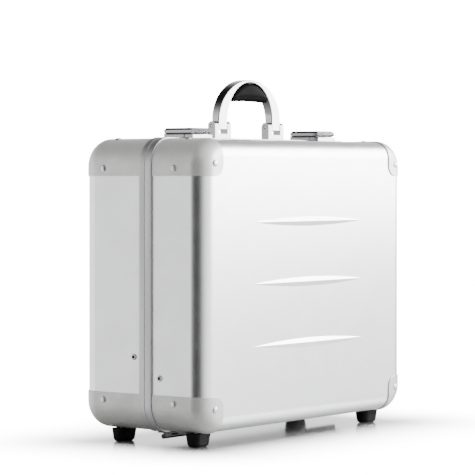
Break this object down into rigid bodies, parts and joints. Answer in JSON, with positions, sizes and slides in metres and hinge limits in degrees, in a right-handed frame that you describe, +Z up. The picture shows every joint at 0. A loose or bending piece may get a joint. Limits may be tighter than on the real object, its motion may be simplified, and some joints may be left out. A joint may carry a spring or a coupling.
{
  "type": "aluminium attache case",
  "caption": "Deep aluminium attache case with rounded pressed shells, riveted corner caps, arched carrying handle, flip latches, folding stays and rubber feet.",
  "frame": {"origin": "on the floor under the middle of the case: centre of the bounding box in X and Y, treads of the feet in Z", "axes": "+X along the case, -Y is the front face, which is the lid, +Z up as it stands on its feet"},
  "size_m": [0.4508, 0.1994, 0.4585],
  "materials": {
    "shell": "satin anodised pressed sheet, fine bead-blast grain",
    "frame": "satin anodised extrusion, drawn lines along its length",
    "cap": "matte warm grey coating",
    "polished": "polished die-cast metal",
    "steel": "nickel plated steel",
    "foot_rubber": "black moulded rubber",
    "gasket_rubber": "soft black sealing strip",
    "grip": "soft black moulded grip with a low sheen",
    "lining": "dark padded woven lining"
  },
  "bodies": {
    "base": {"base_shell": "shell", "base_lining": "lining", "base_frame": "frame", "frame_gasket": "gasket_rubber", "cap_base_left_top": "cap", "cap_base_left_bottom": "cap", "foot_base_left": "foot_rubber", "foot_screw_base_left": "steel", "cap_base_right_top": "cap", "cap_base_right_bottom": "cap", "foot_base_right": "foot_rubber", "foot_screw_base_right": "steel", "hinge_left_base_leaf": "steel", "hinge_left_pin": "steel", "handle_bracket_left": "polished", "handle_pin_left": "steel", "latch_left_housing": "polished", "latch_left_pin": "steel", "latch_left_spring": "steel", "stay_left_base_rivet": "steel", "hinge_right_base_leaf": "steel", "hinge_right_pin": "steel", "handle_bracket_right": "polished", "handle_pin_right": "steel", "latch_right_housing": "polished", "latch_right_pin": "steel", "latch_right_spring": "steel", "stay_right_base_rivet": "steel"},
    "lid": {"lid_shell": "shell", "lid_lining": "lining", "lid_frame": "frame", "cap_lid_left_top": "cap", "cap_lid_left_bottom": "cap", "foot_lid_left": "foot_rubber", "foot_screw_lid_left": "steel", "cap_lid_right_top": "cap", "cap_lid_right_bottom": "cap", "foot_lid_right": "foot_rubber", "foot_screw_lid_right": "steel", "hinge_left_lid_leaf": "steel", "latch_left_catch": "polished", "stay_left_lid_rivet": "steel", "hinge_right_lid_leaf": "steel", "latch_right_catch": "polished", "stay_right_lid_rivet": "steel"},
    "handle": {"handle_bow": "polished", "handle_grip": "grip"},
    "latch_left": {"latch_left_lever": "polished", "latch_left_claw": "steel"},
    "stay_left_lower": {"stay_left_lower_link": "steel", "stay_left_joint_rivet": "steel"},
    "stay_left_upper": {"stay_left_upper_link": "steel"},
    "latch_right": {"latch_right_lever": "polished", "latch_right_claw": "steel"},
    "stay_right_lower": {"stay_right_lower_link": "steel", "stay_right_joint_rivet": "steel"},
    "stay_right_upper": {"stay_right_upper_link": "steel"}
  },
  "joints": [
    {"name": "lid_hinge", "type": "hinge", "parent": "base", "child": "lid", "pos_m": [0, -0.006, 0.0095], "axis": [1, 0, 0], "range_deg": [0, 95]},
    {"name": "handle_pivot", "type": "hinge", "parent": "base", "child": "handle", "pos_m": [0, 0.0038, 0.3975], "axis": [1, 0, 0], "range_deg": [-88, 88]},
    {"name": "latch_left_lever_pivot", "type": "hinge", "parent": "base", "child": "latch_left", "pos_m": [-0.1375, 0.0151, 0.3894], "axis": [-1, 0, 0], "range_deg": [0, 100]},
    {"name": "stay_left_base_pivot", "type": "hinge", "parent": "base", "child": "stay_left_lower", "pos_m": [-0.1375, 0.0127, 0.1094], "axis": [1, 0, 0], "range_deg": [0, 87]},
    {"name": "stay_left_elbow_pivot", "type": "hinge", "parent": "stay_left_lower", "child": "stay_left_upper", "pos_m": [-0.1375, -0.0471, 0.16254], "axis": [1, 0, 0], "range_deg": [-127, 0]},
    {"name": "latch_right_lever_pivot", "type": "hinge", "parent": "base", "child": "latch_right", "pos_m": [0.1375, 0.0151, 0.3894], "axis": [-1, 0, 0], "range_deg": [0, 100]},
    {"name": "stay_right_base_pivot", "type": "hinge", "parent": "base", "child": "stay_right_lower", "pos_m": [0.1375, 0.0127, 0.1094], "axis": [1, 0, 0], "range_deg": [0, 87]},
    {"name": "stay_right_elbow_pivot", "type": "hinge", "parent": "stay_right_lower", "child": "stay_right_upper", "pos_m": [0.1375, -0.0471, 0.16254], "axis": [1, 0, 0], "range_deg": [-127, 0]}
  ],
  "couplings": [
    {"joint": "stay_left_base_pivot", "follows": "lid_hinge", "ratio": 0.90871},
    {"joint": "stay_left_elbow_pivot", "follows": "lid_hinge", "ratio": -1.3293},
    {"joint": "stay_right_base_pivot", "follows": "lid_hinge", "ratio": 0.90871},
    {"joint": "stay_right_elbow_pivot", "follows": "lid_hinge", "ratio": -1.3293}
  ]
}
